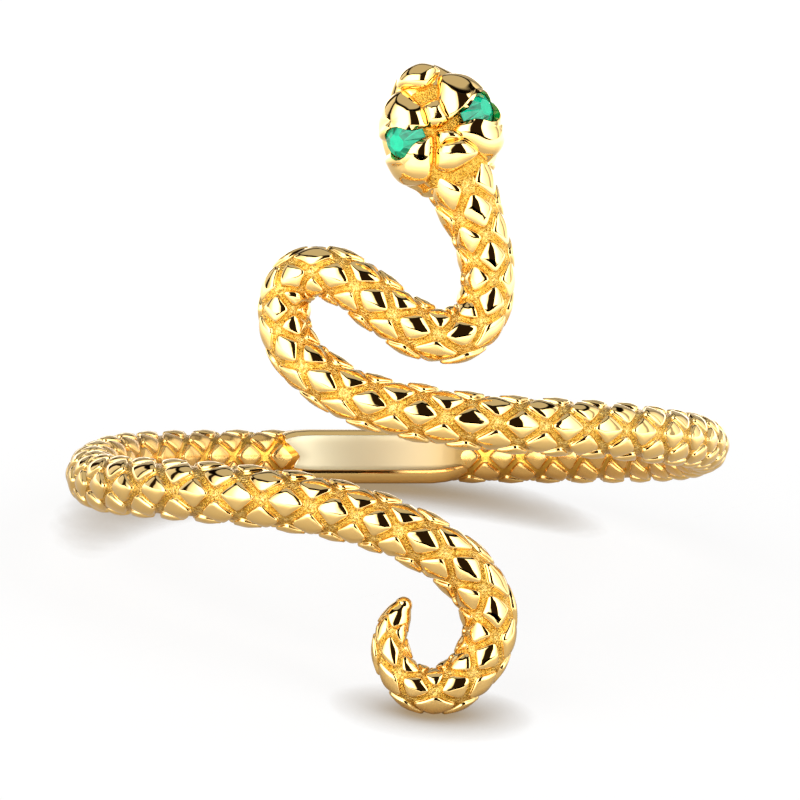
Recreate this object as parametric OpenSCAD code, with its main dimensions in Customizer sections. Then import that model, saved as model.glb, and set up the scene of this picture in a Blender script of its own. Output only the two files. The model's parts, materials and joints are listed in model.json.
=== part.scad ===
/* [Ring] */
// Distance from the finger's axis to the middle of the body
ring_radius = 9.5; // [9.45:0.05:9.6]
// Radius the finger slides through, which flattens the inner scales
finger_radius = 8.65; // [8.55:0.05:8.75]

/* [Scales] */
// Length of one diamond along the body, in radii of the body
scale_pitch = 1.51; // [1.5:0.01:1.8]
// Where the first row of diamonds lies, in pitches from the neck
first_scale = 0.05; // [0:0.05:0.5]
// Share of its pitch that a diamond's foot fills on the groove's floor
foot_share = 0.8; // [0.72:0.01:0.9]
// Share of its pitch that a diamond's shoulder fills
shoulder_share = 0.68; // [0.5:0.01:0.7]
// Height of the groove's floor, in radii of the body
floor_level = 0.77; // [0.65:0.01:0.84]
// Height of a diamond's shoulder, in radii of the body
shoulder_level = 0.93; // [0.88:0.01:0.97]

/* [Head] */
// Turn of the head round the finger, from the front
head_turn = 7.4; // [5:0.1:10]
// Height of the head's middle along the finger's axis
head_height = 9.9; // [9.5:0.05:10.5]
// Lean of the snout to the side of the ring's axis
head_lean = 22; // [15:1:30]
// Rise of the polished plates over the head's rough base
plate_rise = 0.28; // [0.2:0.01:0.32]

/* [Eye stones] */
// Distance of a stone from the head's midline
eye_side = 1.34; // [1.3:0.01:1.45]
// Distance of a stone in front of the head's middle
eye_forward = 0.1; // [0:0.05:0.3]
// Height of a stone's girdle over the middle of the body
eye_height = 0.84; // [0.8:0.01:0.9]
// Tilt of a stone to the head's side
eye_tilt = 48; // [40:1:55]
// Radius of a stone's round part
stone_radius = 0.49; // [0.42:0.01:0.5]
// Reach of a stone's narrow end from the middle of its round part
stone_reach = 0.78; // [0.7:0.01:0.9]
// Gap between a stone and its seat
stone_gap = 0.03; // [0.02:0.005:0.05]

/* [Plate inside the back] */
// Turn of the plate's middle round the finger, from the back
plate_turn = 5; // [0:1:10]
// Length of the plate along the band
plate_length = 5.7; // [5:0.1:6.5]
// Depth of the notch that the scales make in each end of the plate
plate_notch = 0.35; // [0:0.05:0.6]
// Height of the plate's rims over the middle of the band
band_rim = 0.86; // [0.8:0.01:0.9]

/* [Rest] */
// Lean of the finger's axis to the back as the ring lies by itself
rest_lean = 19.4; // [0:0.1:30]
// Roll to the side as it lies
rest_roll = -6.4; // [-10:0.1:10]
// Shift that puts the middle of its base at the origin
rest_shift = [0.01, 1.11, 4.15];

/* [Hidden] */

// The body's middle line from the neck to the tail, unrolled from the finger's cylinder
TURN = 0;
HEIGHT = 1;
RADIUS = 2;
PATH = [
    // turn from the front, height along the axis, radius of the body
    [7.9, 9.8, 0.90],
    [9.7, 9.0, 1.16],
    [11.9, 8.1, 1.14],
    [13.8, 7.3, 1.01],
    [15.6, 6.5, 0.93],
    [16.6, 5.6, 0.90],
    [16.2, 4.75, 0.90],
    [13.9, 4.0, 0.91],
    [9.4, 3.65, 0.92],
    [4.4, 3.8, 0.93],
    [0, 4.2, 0.92],
    [-4, 4.7, 0.92],
    [-8, 5.2, 0.91],
    [-12.5, 5.55, 0.89],
    [-17, 5.55, 0.87],
    [-20.3, 5.15, 0.86],
    [-21.3, 4.4, 0.86],
    [-20.6, 3.65, 0.86],
    [-18, 2.95, 0.86],
    [-14, 2.4, 0.87],
    [-8.5, 1.85, 0.89],
    [-2.5, 1.53, 0.91],
    [4, 1.32, 0.93],
    [11, 1.12, 0.93],
    [20, 0.98, 0.93],
    [30, 0.9, 0.93],
    [45, 0.78, 0.93],
    [60, 0.62, 0.91],
    [75, 0.48, 0.89],
    [90, 0.32, 0.88],
    [110, 0.1, 0.88],
    [135, 0, 0.88],
    [180, 0, 0.88],
    [225, 0, 0.88],
    [250, -0.15, 0.89],
    [270, -0.55, 0.92],
    [285, -0.8, 0.94],
    [300, -0.92, 0.96],
    [315, -1.02, 0.98],
    [330, -1.18, 0.99],
    [340, -1.36, 0.99],
    [349, -1.64, 0.97],
    [358, -2.08, 0.95],
    [365.5, -2.66, 0.95],
    [371.8, -3.4, 0.95],
    [376.2, -4.4, 0.94],
    [376.9, -5.4, 0.90],
    [374, -6.38, 0.86],
    [369, -7.02, 0.82],
    [364, -7.04, 0.77],
    [360.2, -6.54, 0.68],
    [358.6, -5.85, 0.62],
    [358.9, -5.25, 0.55],
    [360.2, -4.75, 0.42],
    [361, -4.5, 0.28]
];
STEPS = 10;

// The head from the snout back, as sections across it
HEAD_SECTIONS = [
    // forward, half width, height of the top, depth of the belly
    [2.15, 0.14, 0.08, 0.2],
    [1.95, 0.52, 0.38, 0.42],
    [1.5, 0.84, 0.54, 0.62],
    [1.0, 1.38, 0.76, 0.74],
    [0.5, 1.7, 0.94, 0.82],
    [-0.2, 1.8, 1.02, 0.85],
    [-0.85, 1.8, 1.02, 0.85],
    [-1.4, 1.6, 0.98, 0.85],
    [-1.9, 1.25, 0.9, 0.85]
];
SECTION_POWER = 2.6;
SECTION_SIDES = 16;

// Outlines of the head's polished plates, each as side and forward from its middle
SNOUT = [[0, 2.2], [-0.35, 2.1], [-0.64, 1.84], [-0.55, 1.68], [-0.3, 1.62], [0, 1.47],
    [0.3, 1.62], [0.55, 1.68], [0.64, 1.84], [0.35, 2.1]];
FOREHEAD = [[0, 0.95], [-0.3, 0.9], [-0.33, 0.5], [-0.34, 0.2], [0, 0.06], [0.34, 0.2],
    [0.33, 0.5], [0.3, 0.9]];
CROWN = [[0, -0.05], [-0.24, -0.1], [-0.3, -0.4], [-0.5, -0.6], [-0.62, -0.85], [-0.7, -1.08],
    [-0.48, -1.26], [-0.15, -1.44], [0.15, -1.44], [0.48, -1.26], [0.7, -1.08], [0.62, -0.85],
    [0.5, -0.6], [0.3, -0.4], [0.24, -0.1]];
BROW = [[0.4, 1.15], [0.55, 1.44], [0.82, 1.52], [1.15, 1.3], [1.48, 0.96], [1.67, 0.6],
    [1.74, 0.3], [1.62, 0.29], [1.35, 0.54], [1.12, 0.57], [0.9, 0.42], [0.8, 0.27], [0.4, 0.24],
    [0.38, 0.6]];
CHEEK = [[0.4, -0.2], [0.55, -0.1], [0.75, -0.06], [0.92, -0.1], [1.08, -0.25], [1.3, -0.4],
    [1.51, -0.33], [1.72, -0.12], [1.77, -0.3], [1.72, -0.62], [1.58, -1.0], [1.38, -1.33],
    [1.18, -1.5], [1.02, -1.42], [0.84, -1.13], [0.66, -0.8], [0.46, -0.5]];

function row_along(from, to, share) = from + (to - from) * share;
function gap_between(p, q) = norm([p.x - q.x, p.y - q.y]);
function sums(steps) = [for (i = 0, s = 0; i <= len(steps);
    s = s + (i < len(steps) ? steps[i] : 0), i = i + 1) s];

// The path as smooth dense samples: distance round the ring, height, radius
KNOTS = [for (p = PATH) [p[TURN] * PI / 180 * ring_radius, p[HEIGHT], p[RADIUS]]];
LAST = len(KNOTS) - 1;
MARKS = sums([for (i = [0:LAST - 1]) gap_between(KNOTS[i], KNOTS[i + 1])]);
SLOPES = [for (i = [0:LAST]) let (a = max(i - 1, 0), b = min(i + 1, LAST))
    (KNOTS[b] - KNOTS[a]) / (MARKS[b] - MARKS[a])];
function curve(i, t) = let (h = MARKS[i + 1] - MARKS[i])
    (2 * t ^ 3 - 3 * t ^ 2 + 1) * KNOTS[i] + (t ^ 3 - 2 * t ^ 2 + t) * h * SLOPES[i]
    + (3 * t ^ 2 - 2 * t ^ 3) * KNOTS[i + 1] + (t ^ 3 - t ^ 2) * h * SLOPES[i + 1];
LINE = concat([for (i = [0:LAST - 1], s = [0:STEPS - 1]) curve(i, s / STEPS)], [KNOTS[LAST]]);

// Pitches counted along the body, and what lies at each
PITCHES = sums([for (i = [0:len(LINE) - 2])
    gap_between(LINE[i], LINE[i + 1]) / (scale_pitch * (LINE[i].z + LINE[i + 1].z) / 2)]);
ROUND_AT = [for (i = [0:len(LINE) - 1]) [PITCHES[i], LINE[i].x]];
HEIGHT_AT = [for (i = [0:len(LINE) - 1]) [PITCHES[i], LINE[i].y]];
RADIUS_AT = [for (i = [0:len(LINE) - 1]) [PITCHES[i], LINE[i].z]];
LENGTH = PITCHES[len(LINE) - 1];
SMOOTH_TIP = 1.2;
ROWS = floor((LENGTH - first_scale - SMOOTH_TIP) * 2);

function spot(u) = [lookup(u, ROUND_AT), lookup(u, HEIGHT_AT)];
function heading(u) = let (d = spot(u + 0.1) - spot(u - 0.1)) d / norm(d);
function outward(turn) = [sin(turn), -cos(turn), 0];
function around(turn) = [cos(turn), sin(turn), 0];
function clear_of_finger(p) = let (d = norm([p.x, p.y]))
    d < finger_radius ? [p.x * finger_radius / d, p.y * finger_radius / d, p.z] : p;

// A point at u pitches along the body, turned from the outward side, at a level in radii
function skin(u, angle, level) =
    let (s = spot(u), turn = s.x / ring_radius * 180 / PI, h = heading(u),
        side = h.y * around(turn) - [0, 0, h.x],
        reach = level * lookup(u, RADIUS_AT))
    clear_of_finger(ring_radius * outward(turn) + [0, 0, s.y]
        + reach * (cos(angle) * outward(turn) + sin(angle) * side));

// Diamonds side by side round the body. One has four feet, four shoulders, four points
// of its dome and its top
SCALES_ROUND = 4;
CORNERS = [[-1, 0], [0, -1], [1, 0], [0, 1]];
DOME_SHARE = 0.36;
DOME_LEVEL = 0.99;
POINTS = 13;
function row_place(k) = first_scale + 0.5 + k / 2;
function row_angle(k, j) = 360 / SCALES_ROUND * (j + (k % 2) / 2);
function ring_of(k, j, share, level) = [for (c = CORNERS)
    skin(row_place(k) + c.x * share / 2, row_angle(k, j) + c.y * share * 180 / SCALES_ROUND, level)];
function diamond(k, j) = concat(ring_of(k, j, foot_share, floor_level),
    ring_of(k, j, shoulder_share, shoulder_level), ring_of(k, j, DOME_SHARE, DOME_LEVEL),
    [skin(row_place(k), row_angle(k, j), 1)]);
function first_point(k, j) = (k * SCALES_ROUND + (j + SCALES_ROUND) % SCALES_ROUND) * POINTS;
function band(a, b) = [for (c = [0:3]) [a + c, a + (c + 1) % 4, b + (c + 1) % 4, b + c]];
function fan(a, top) = [for (c = [0:3]) [a + c, a + (c + 1) % 4, top]];

// Domed where a diamond faces outward, peaked at the sides and flat next to the finger
function top_faces(p, facing) = facing > 0.3 ? concat(band(p + 4, p + 8), fan(p + 8, p + 12))
    : facing > -0.3 ? fan(p + 4, p + 12) : [[p + 4, p + 5, p + 6, p + 7]];
function diamond_faces(k, j) = let (p = first_point(k, j))
    concat(band(p, p + 4), top_faces(p, cos(row_angle(k, j))));

// Corners of the feet, for the floor between the diamonds
BACK = 0;
LEFT = 1;
FRONT = 2;
RIGHT = 3;
function foot(k, j, corner) = first_point(k, j) + corner;
function to_right(k, j) = j + k % 2;
function to_left(k, j) = j + k % 2 - 1;
function floor_strips(k, j) = let (r = to_right(k, j), l = to_left(k, j)) [
    [foot(k, j, FRONT), foot(k + 1, r, LEFT), foot(k + 1, r, BACK), foot(k, j, RIGHT)],
    [foot(k, j, LEFT), foot(k + 1, l, BACK), foot(k + 1, l, RIGHT), foot(k, j, FRONT)]];
function floor_node(k, j) = [foot(k, j, FRONT), foot(k + 1, to_left(k, j), RIGHT),
    foot(k + 2, j, BACK), foot(k + 1, to_right(k, j), LEFT)];
function start_faces(j, middle) = [
    [foot(0, j, RIGHT), foot(1, to_right(0, j), BACK), foot(0, j + 1, LEFT)],
    [foot(0, j, LEFT), foot(0, j, BACK), middle],
    [foot(0, j, BACK), foot(0, j, RIGHT), middle],
    [foot(0, j, RIGHT), foot(0, j + 1, LEFT), middle]];
function end_faces(k, j, middle) = [
    [foot(k - 1, to_right(k, j), FRONT), foot(k, j, RIGHT), foot(k, j + 1, LEFT)],
    [foot(k, j, FRONT), foot(k, j, LEFT), middle],
    [foot(k, j, RIGHT), foot(k, j, FRONT), middle],
    [foot(k, j + 1, LEFT), foot(k, j, RIGHT), middle]];

// The scaled body, closed inside the head and inside the tail's tip
module scaled_body() {
    around_all = [0:SCALES_ROUND - 1];
    last_row = ROWS - 1;
    start_middle = ROWS * SCALES_ROUND * POINTS;
    points = concat([for (k = [0:last_row], j = around_all, p = diamond(k, j)) p],
        [skin(first_scale, 0, 0), skin(row_place(last_row) + 0.5, 0, 0)]);
    faces = concat([for (k = [0:last_row], j = around_all, f = diamond_faces(k, j)) f],
        [for (k = [0:last_row - 1], j = around_all, f = floor_strips(k, j)) f],
        [for (k = [0:last_row - 2], j = around_all) floor_node(k, j)],
        [for (j = around_all, f = start_faces(j, start_middle)) f],
        [for (j = around_all, f = end_faces(last_row, j, start_middle + 1)) f]);
    polyhedron(points, faces);
}

// The smooth tip of the tail, past the last scales
module tail_tip() {
    start = row_place(ROWS - 1) - 0.2;
    tip_steps = 4;
    for (i = [0:tip_steps - 1]) hull() for (s = [i, i + 1])
        let (u = row_along(start, LENGTH, s / tip_steps))
            translate(skin(u, 0, 0)) sphere(0.94 * lookup(u, RADIUS_AT), $fn = 12);
}

// The smooth stretch inside the band's back: a bare flat face between rounded rims
module inner_plate() {
    half = plate_length / 2;
    face = finger_radius - 0.05;
    rim = band_rim;
    intersection() {
        rotate_extrude($fn = 150) polygon([[face, -0.53], [face, 0.68], [face + 0.12, rim - 0.06],
            [face + 0.4, rim], [ring_radius, rim], [ring_radius, -rim], [face + 0.4, -rim],
            [face + 0.14, -rim + 0.08]]);
        rotate([90, 0, plate_turn + 180]) linear_extrude(2 * ring_radius)
            polygon([[-half, -1], [-half + plate_notch, 0], [-half, 1], [half, 1],
                [half - plate_notch, 0], [half, -1]]);
    }
}

// Half width and height of the head's base at a place forward of its middle
function head_size(forward, column) =
    lookup(forward, [for (s = HEAD_SECTIONS) [s[0], s[column]]]);
function head_top(side, forward) = let (w = head_size(forward, 1), share = min(abs(side) / w, 1))
    head_size(forward, 2) * (1 - share ^ SECTION_POWER) ^ (1 / SECTION_POWER);

module at_head() {
    multmatrix([for (i = [0:2]) let (a = around(head_turn), z = [0, 0, 1])
        [cos(head_lean) * a[i] + sin(head_lean) * z[i],
            -sin(head_lean) * a[i] + cos(head_lean) * z[i],
            outward(head_turn)[i],
            ring_radius * outward(head_turn)[i] + head_height * z[i]]])
        children();
}

// A section across the head: a rounded top and a flatter belly
module head_section(s) {
    translate([0, s[0], 0]) rotate([90, 0, 0]) linear_extrude(0.01)
        polygon([for (i = [0:SECTION_SIDES - 1])
            let (a = 360 * i / SECTION_SIDES, power = 2 / SECTION_POWER)
            [s[1] * sign(cos(a)) * abs(cos(a)) ^ power,
                (sin(a) > 0 ? s[2] : s[3]) * sign(sin(a)) * abs(sin(a)) ^ power]]);
}

module head_base() {
    for (i = [0:len(HEAD_SECTIONS) - 2]) hull() {
        head_section(HEAD_SECTIONS[i]);
        head_section(HEAD_SECTIONS[i + 1]);
    }
}

// A polished plate: its outline sunk into the base, a bevelled rim and a domed middle,
// as rings of share of the outline and height in plate rises
module head_plate(outline, middle) {
    n = len(outline);
    rings = [[1, -1.4], [1, 0.4], [0.86, 1]];
    last = (len(rings) - 1) * n;
    points = concat([for (r = rings, p = outline) let (q = middle + (p - middle) * r[0])
        [q.x, q.y, head_top(q.x, q.y) + plate_rise * r[1]]],
        [[middle.x, middle.y, head_top(middle.x, middle.y) + plate_rise * 1.3],
            [middle.x, middle.y, 0]]);
    turned = (outline[1] - middle).x * (outline[0] - middle).y
        - (outline[1] - middle).y * (outline[0] - middle).x > 0;
    faces = concat([for (r = [0:len(rings) - 2], i = [0:n - 1])
        [r * n + i, r * n + (i + 1) % n, (r + 1) * n + (i + 1) % n, (r + 1) * n + i]],
        [for (i = [0:n - 1]) [last + i, last + (i + 1) % n, last + n]],
        [for (i = [0:n - 1]) [(i + 1) % n, i, last + n + 1]]);
    polyhedron(points, turned ? faces : [for (f = faces) [for (i = [len(f) - 1:-1:0]) f[i]]]);
}

// Outline of a stone: a round part and a narrow end
module stone_round(grow) {
    circle(stone_radius + grow, $fn = 16);
}
module stone_end(grow) {
    polygon([[-0.2, -0.24 - grow], [-stone_reach - grow, -0.11 - grow],
        [-stone_reach - grow, 0.11 + grow], [-0.2, 0.24 + grow]]);
}

// Puts its children at the stone on one side, with +Z out of the stone
module at_eye(side) {
    mirror([side < 0 ? 1 : 0, 0, 0]) translate([eye_side, eye_forward, eye_height])
        rotate([0, eye_tilt, 0]) children();
}

// Cut with a table, a ring of crown facets, a thin girdle and a pointed pavilion
module cut_stone() {
    crown = 0.14;
    pavilion = 0.3;
    girdle = 0.04;
    table_share = 0.56;
    hull() {
        translate([0, 0, crown]) linear_extrude(0.01) scale(table_share) stone_round(0);
        linear_extrude(girdle) stone_round(0);
        translate([0, 0, -pavilion]) cylinder(0.01, r = 0.06, $fn = 8);
    }
    hull() {
        translate([0, 0, crown / 2]) linear_extrude(0.01) offset(delta = -0.07) stone_end(0);
        linear_extrude(girdle) stone_end(0);
        translate([-0.4, 0, -pavilion / 2]) cylinder(0.01, r = 0.06, $fn = 8);
    }
}

// The seat cut for a stone, and the narrow channel that runs on from it over the head
module eye_seat() {
    depth = 0.36;
    channel = 0.12;
    translate([0, 0, -depth]) linear_extrude(2) {
        stone_round(stone_gap);
        stone_end(stone_gap);
    }
    translate([-stone_reach - 0.5, -channel / 2, -0.05]) cube([0.6, channel, 1]);
}

module head() {
    difference() {
        union() {
            head_base();
            head_plate(SNOUT, [0, 1.85]);
            head_plate(FOREHEAD, [0, 0.5]);
            head_plate(CROWN, [0, -0.85]);
            for (side = [0, 1]) mirror([side, 0, 0]) {
                head_plate(BROW, [1, 0.95]);
                head_plate(CHEEK, [1.15, -0.75]);
            }
        }
        for (side = [-1, 1]) at_eye(side) eye_seat();
    }
}

module at_rest() {
    translate(rest_shift) rotate([-rest_lean, rest_roll, 0]) children();
}

module snake_ring() {
    color("goldenrod") at_rest() union() {
        scaled_body();
        tail_tip();
        inner_plate();
        at_head() head();
    }
}

module eye_stone(side) {
    color("mediumseagreen") at_rest() at_head() at_eye(side) cut_stone();
}

snake_ring();
eye_stone(-1);  // eye_stone_left
eye_stone(1);  // eye_stone_right
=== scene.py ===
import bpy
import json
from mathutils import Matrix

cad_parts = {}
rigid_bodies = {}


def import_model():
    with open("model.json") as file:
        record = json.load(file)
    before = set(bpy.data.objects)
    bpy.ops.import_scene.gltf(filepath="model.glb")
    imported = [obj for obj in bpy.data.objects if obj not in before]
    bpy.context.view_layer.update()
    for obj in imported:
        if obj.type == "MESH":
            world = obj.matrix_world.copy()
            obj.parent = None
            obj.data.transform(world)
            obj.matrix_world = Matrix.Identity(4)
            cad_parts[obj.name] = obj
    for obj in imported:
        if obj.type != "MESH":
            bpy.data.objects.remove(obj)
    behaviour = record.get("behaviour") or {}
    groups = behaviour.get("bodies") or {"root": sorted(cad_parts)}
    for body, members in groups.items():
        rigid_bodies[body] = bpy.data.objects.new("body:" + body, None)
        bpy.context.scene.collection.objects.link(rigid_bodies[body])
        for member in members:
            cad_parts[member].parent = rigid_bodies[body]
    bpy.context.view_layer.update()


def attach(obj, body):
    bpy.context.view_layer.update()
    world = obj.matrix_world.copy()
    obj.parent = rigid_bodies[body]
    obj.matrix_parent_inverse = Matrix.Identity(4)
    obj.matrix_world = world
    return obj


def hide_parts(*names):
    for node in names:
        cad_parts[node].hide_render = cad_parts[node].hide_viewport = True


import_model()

import json
from math import asin, atan2, cos, hypot, pi, radians, sin

import bmesh
import bpy
import numpy as np
from mathutils import Matrix, Vector

scene = bpy.context.scene
mm = 0.001

# How the ring lies by itself: the same lean, roll and shift as in the CAD source
rest = {"lean": 19.4, "roll": -6.4, "shift": (0.01, 1.11, 4.15)}
restTurn = Matrix.Rotation(radians(rest["roll"]), 4, "Y") @ Matrix.Rotation(radians(-rest["lean"]), 4, "X")
restMatrix = Matrix.Translation(Vector(rest["shift"]) * mm) @ restTurn @ Matrix.Scale(mm, 4)

# The camera stands square in front of the ring's own axis, and so looks down on the floor
camera = {"distance": 300, "lens": 432, "shiftX": 0.0025, "shiftY": 0.0706}
cameraData = bpy.data.cameras.new("camera")
cameraData.lens = camera["lens"]
cameraData.sensor_width = 36
cameraData.shift_x = camera["shiftX"]
cameraData.shift_y = camera["shiftY"]
cameraData.clip_start = 0.01
cameraData.clip_end = 20
cameraObject = bpy.data.objects.new("camera", cameraData)
scene.collection.objects.link(cameraObject)
cameraPlace = Matrix.Translation(restMatrix @ Vector((0, -camera["distance"], 0)))
cameraObject.matrix_world = cameraPlace @ restTurn @ Matrix.Rotation(pi / 2, 4, "X")
scene.camera = cameraObject
scene.view_settings.view_transform = "Standard"
print("camera placed")


def linearColour(code):
    parts = [int(code[i : i + 2], 16) / 255 for i in (1, 3, 5)]
    return [p / 12.92 if p <= 0.04045 else ((p + 0.055) / 1.055) ** 2.4 for p in parts] + [1]


def addNode(tree, kind, settings=None, links=None):
    # Sockets go by name or number. A Mix node's two colours are 6 and 7, and its output 2 is the mixed one.
    node = tree.nodes.new(kind)
    for name, value in (settings or {}).items():
        if isinstance(name, int) or name in node.inputs:
            node.inputs[name].default_value = value
        else:
            setattr(node, name, value)
    for socket, source in (links or {}).items():
        tree.links.new(source, node.inputs[socket])
    return node


def newMaterial(name):
    material = bpy.data.materials.new(name)
    material.use_nodes = True
    material.node_tree.nodes.clear()
    return material, material.node_tree


def smoothCurve(rows, placeColumns, steps, closed=False):
    # a smooth curve through the rows, paced by how far apart their first columns put them
    knots = np.array(rows, float)
    if closed:
        knots = np.vstack([knots[-1:], knots, knots[:2]])
    gaps = np.linalg.norm(np.diff(knots[:, :placeColumns], axis=0), axis=1)
    marks = np.concatenate([[0], np.cumsum(gaps)])
    last = len(knots) - 1
    after, before = np.minimum(np.arange(last + 1) + 1, last), np.maximum(np.arange(last + 1) - 1, 0)
    slopes = (knots[after] - knots[before]) / (marks[after] - marks[before])[:, None]
    points = []
    for i in range(1, last - 1) if closed else range(last):
        for t in np.arange(steps) / steps:
            points.append(
                (2 * t**3 - 3 * t**2 + 1) * knots[i]
                + (t**3 - 2 * t**2 + t) * gaps[i] * slopes[i]
                + (3 * t**2 - 2 * t**3) * knots[i + 1]
                + (t**3 - t**2) * gaps[i] * slopes[i + 1]
            )
    return np.array(points if closed else points + [knots[last]])


def finishPiece(name, mesh, materials, slot, subdivisions=0, flat=False):
    # from the ring's own frame in mm to where it lies, in metres
    bmesh.ops.transform(mesh, matrix=restMatrix, verts=mesh.verts)
    data = bpy.data.meshes.new(name)
    mesh.to_mesh(data)
    mesh.free()
    for polygon in data.polygons:
        polygon.use_smooth = not flat
    for material in materials:
        data.materials.append(material)
    piece = bpy.data.objects.new(name, data)
    scene.collection.objects.link(piece)
    if subdivisions:
        modifier = piece.modifiers.new("smooth", "SUBSURF")
        modifier.levels = modifier.render_levels = subdivisions
    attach(piece, "root")
    if slot == "gold_plate":
        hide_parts("snake_ring")
    return piece


def polishedGold():
    # Silver plated with yellow gold and buffed: a warm mirror with the faintest wipe marks, satin where no
    # buffing wheel reaches, on the side that the finger touches
    material, tree = newMaterial("gold_plate_polished")
    place = addNode(tree, "ShaderNodeTexCoord").outputs["Object"]
    wipes = addNode(
        tree, "ShaderNodeTexNoise", {"Scale": 1 / (1.5 * mm), "Detail": 3}, {"Vector": place}
    )
    gloss = addNode(
        tree, "ShaderNodeMapRange", {"To Min": 0.02, "To Max": 0.05}, {"Value": wipes.outputs["Fac"]}
    )
    inside = addNode(tree, "ShaderNodeAttribute", {"attribute_name": "inside"}).outputs["Fac"]
    satin = addNode(
        tree,
        "ShaderNodeMath",
        {"operation": "MULTIPLY_ADD", 1: 0.22},
        {0: inside, 2: gloss.outputs["Result"]},
    )
    tint = addNode(
        tree,
        "ShaderNodeMix",
        {"data_type": "RGBA", 6: linearColour("#FCD68C"), 7: linearColour("#F6C676")},
        {"Factor": inside},
    )
    shader = addNode(
        tree,
        "ShaderNodeBsdfPrincipled",
        {"Metallic": 1},
        {"Base Color": tint.outputs[2], "Roughness": satin.outputs[0]},
    )
    addNode(tree, "ShaderNodeOutputMaterial", {}, {"Surface": shader.outputs["BSDF"]})
    return material


def satinGold():
    # The bare inner face, brushed once and plated: a soft broad sheen. Its colour is painted light at the
    # left end, near white, deepening to painted shade towards the right end. Here "inside" is 0 at the left
    # end and 1 at the right.
    material, tree = newMaterial("gold_plate_satin")
    place = addNode(tree, "ShaderNodeTexCoord").outputs["Object"]
    clouds = addNode(
        tree, "ShaderNodeTexNoise", {"Scale": 1 / (1.2 * mm), "Detail": 3}, {"Vector": place}
    )
    gloss = addNode(
        tree, "ShaderNodeMapRange", {"To Min": 0.42, "To Max": 0.5}, {"Value": clouds.outputs["Fac"]}
    )
    inside = addNode(tree, "ShaderNodeAttribute", {"attribute_name": "inside"}).outputs["Fac"]
    # painted light at the left end and painted shade towards the right end
    tint = addNode(
        tree,
        "ShaderNodeMix",
        {"data_type": "RGBA", 6: linearColour("#FFF6D4"), 7: linearColour("#B89450")},
        {"Factor": inside},
    )
    shader = addNode(
        tree,
        "ShaderNodeBsdfPrincipled",
        {"Metallic": 1},
        {"Base Color": tint.outputs[2], "Roughness": gloss.outputs["Result"]},
    )
    addNode(tree, "ShaderNodeOutputMaterial", {}, {"Surface": shader.outputs["BSDF"]})
    return material


def castGold():
    # The grooves keep the grainy skin of the casting under the plate: deep yellow, with a painted sparkle
    # that makes them paler where they cross, and a few dark pits
    material, tree = newMaterial("gold_plate_as_cast")
    place = addNode(tree, "ShaderNodeTexCoord").outputs["Object"]
    grain = addNode(
        tree,
        "ShaderNodeTexNoise",
        {"Scale": 1 / (0.06 * mm), "Detail": 2, "Roughness": 0.6},
        {"Vector": place},
    )
    patches = addNode(
        tree, "ShaderNodeTexNoise", {"Scale": 1 / (0.08 * mm), "Detail": 2}, {"Vector": place}
    )
    speckle = addNode(
        tree, "ShaderNodeMapRange", {"From Min": 0.32, "From Max": 0.68}, {"Value": patches.outputs["Fac"]}
    )
    tint = addNode(
        tree,
        "ShaderNodeMix",
        {"data_type": "RGBA", 6: linearColour("#B28222"), 7: linearColour("#ECBC56")},
        {"Factor": speckle.outputs["Result"]},
    )
    # painted sparkle: the grooves are painted paler where they cross, a highlight put into the colour
    crossing = addNode(tree, "ShaderNodeAttribute", {"attribute_name": "crossing"}).outputs["Fac"]
    paintedSparkle = addNode(
        tree, "ShaderNodeMath", {"operation": "MULTIPLY"}, {0: crossing, 1: speckle.outputs["Result"]}
    )
    paler = addNode(
        tree,
        "ShaderNodeMix",
        {"data_type": "RGBA", 7: linearColour("#FCDC8C")},
        {"Factor": paintedSparkle.outputs[0], 6: tint.outputs[2]},
    )
    pits = addNode(
        tree, "ShaderNodeMapRange", {"From Min": 0.66, "From Max": 0.7}, {"Value": grain.outputs["Fac"]}
    )
    pitted = addNode(
        tree,
        "ShaderNodeMix",
        {"data_type": "RGBA", 7: linearColour("#6A3E0A")},
        {"Factor": pits.outputs["Result"], 6: paler.outputs[2]},
    )
    # on the finger's side the grooves are worn smooth
    inside = addNode(tree, "ShaderNodeAttribute", {"attribute_name": "inside"}).outputs["Fac"]
    worn = addNode(
        tree,
        "ShaderNodeMix",
        {"data_type": "RGBA", 7: linearColour("#D9A544")},
        {"Factor": inside, 6: pitted.outputs[2]},
    )
    depth = addNode(tree, "ShaderNodeMapRange", {"To Min": 1, "To Max": 0.15}, {"Value": inside})
    bumps = addNode(
        tree,
        "ShaderNodeBump",
        {"Distance": 0.055 * mm},
        {"Height": grain.outputs["Fac"], "Strength": depth.outputs["Result"]},
    )
    shader = addNode(
        tree,
        "ShaderNodeBsdfPrincipled",
        {"Metallic": 1, "Roughness": 0.22},
        {"Base Color": worn.outputs[2], "Normal": bumps.outputs["Normal"]},
    )
    addNode(tree, "ShaderNodeOutputMaterial", {}, {"Surface": shader.outputs["BSDF"]})
    return material


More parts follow.
